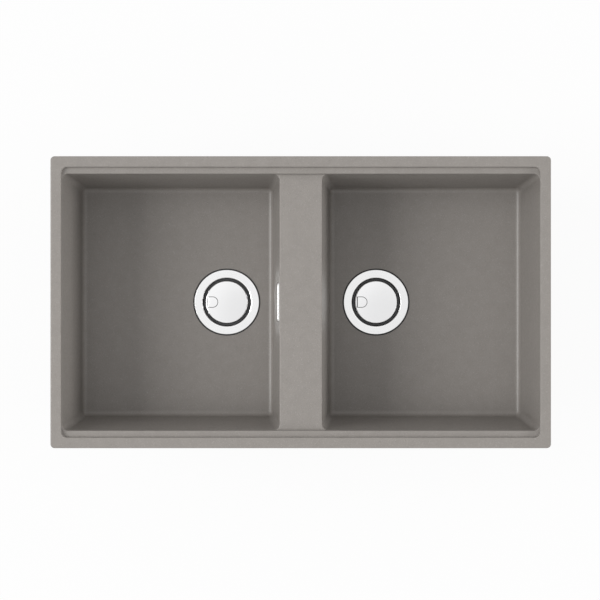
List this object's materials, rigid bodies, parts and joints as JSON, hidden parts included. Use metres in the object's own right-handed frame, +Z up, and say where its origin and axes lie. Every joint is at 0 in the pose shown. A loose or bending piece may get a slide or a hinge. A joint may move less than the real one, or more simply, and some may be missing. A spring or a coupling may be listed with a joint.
{
  "type": "undermount kitchen sink",
  "caption": "Undermount kitchen sink moulded in speckled stone composite, with bowls either side of a low divider, accessory ledges, lift-out lidded basket wastes and an overflow.",
  "frame": {"origin": "centre of the rim's top face, the plane that meets the underside of the worktop", "axes": "+X along the length to the user's right, +Y from the front edge to the back edge, +Z up out of the bowls"},
  "size_m": [0.84, 0.49, 0.306],
  "materials": {
    "composite": "fine matt grain with light and dark flecks",
    "flange_steel": "polished pressed sheet",
    "lid_chrome": "bright plated",
    "fixing_steel": "turned, plain",
    "brass": "turned, dull",
    "rubber": "matt",
    "white_plastic": "moulded satin",
    "grey_plastic": "moulded satin"
  },
  "bodies": {
    "sink": {"sink_body": "composite", "rim_inserts": "brass", "left_waste_cup": "flange_steel", "left_flange_gasket": "rubber", "left_body_gasket": "rubber", "left_waste_body": "white_plastic", "left_clamp_screw": "fixing_steel", "left_clamp_nut": "brass", "right_waste_cup": "flange_steel", "right_flange_gasket": "rubber", "right_body_gasket": "rubber", "right_waste_body": "white_plastic", "right_clamp_screw": "fixing_steel", "right_clamp_nut": "brass", "overflow_plate": "flange_steel", "overflow_screw": "fixing_steel", "overflow_gasket": "rubber", "overflow_housing": "white_plastic", "overflow_pipe": "white_plastic", "overflow_pipe_seals": "rubber", "overflow_pipe_nuts": "white_plastic"},
    "left_stopper": {"left_stopper_stem": "grey_plastic", "left_stopper_seal": "rubber", "left_stopper_cap": "fixing_steel"},
    "left_strainer": {"left_basket": "grey_plastic", "left_lid": "lid_chrome", "left_tab_pin": "fixing_steel"},
    "left_tab": {"left_lift_tab": "lid_chrome"},
    "right_stopper": {"right_stopper_stem": "grey_plastic", "right_stopper_seal": "rubber", "right_stopper_cap": "fixing_steel"},
    "right_strainer": {"right_basket": "grey_plastic", "right_lid": "lid_chrome", "right_tab_pin": "fixing_steel"},
    "right_tab": {"right_lift_tab": "lid_chrome"}
  },
  "joints": [
    {"name": "left_lift_out", "type": "slide", "parent": "sink", "child": "left_stopper", "axis": [0, 0, 1], "range_m": [0, 0.27]},
    {"name": "left_turn", "type": "hinge", "parent": "left_stopper", "child": "left_strainer", "pos_m": [-0.132, 0, -0.23], "axis": [0, 0, 1], "continuous": true},
    {"name": "left_tab_fold", "type": "hinge", "parent": "left_strainer", "child": "left_tab", "pos_m": [-0.164, 0, -0.20127], "axis": [0, -1, 0], "range_deg": [0, 100]},
    {"name": "right_lift_out", "type": "slide", "parent": "sink", "child": "right_stopper", "axis": [0, 0, 1], "range_m": [0, 0.27]},
    {"name": "right_turn", "type": "hinge", "parent": "right_stopper", "child": "right_strainer", "pos_m": [0.132, 0, -0.23], "axis": [0, 0, 1], "continuous": true},
    {"name": "right_tab_fold", "type": "hinge", "parent": "right_strainer", "child": "right_tab", "pos_m": [0.1, 0, -0.20127], "axis": [0, -1, 0], "range_deg": [0, 100]}
  ]
}
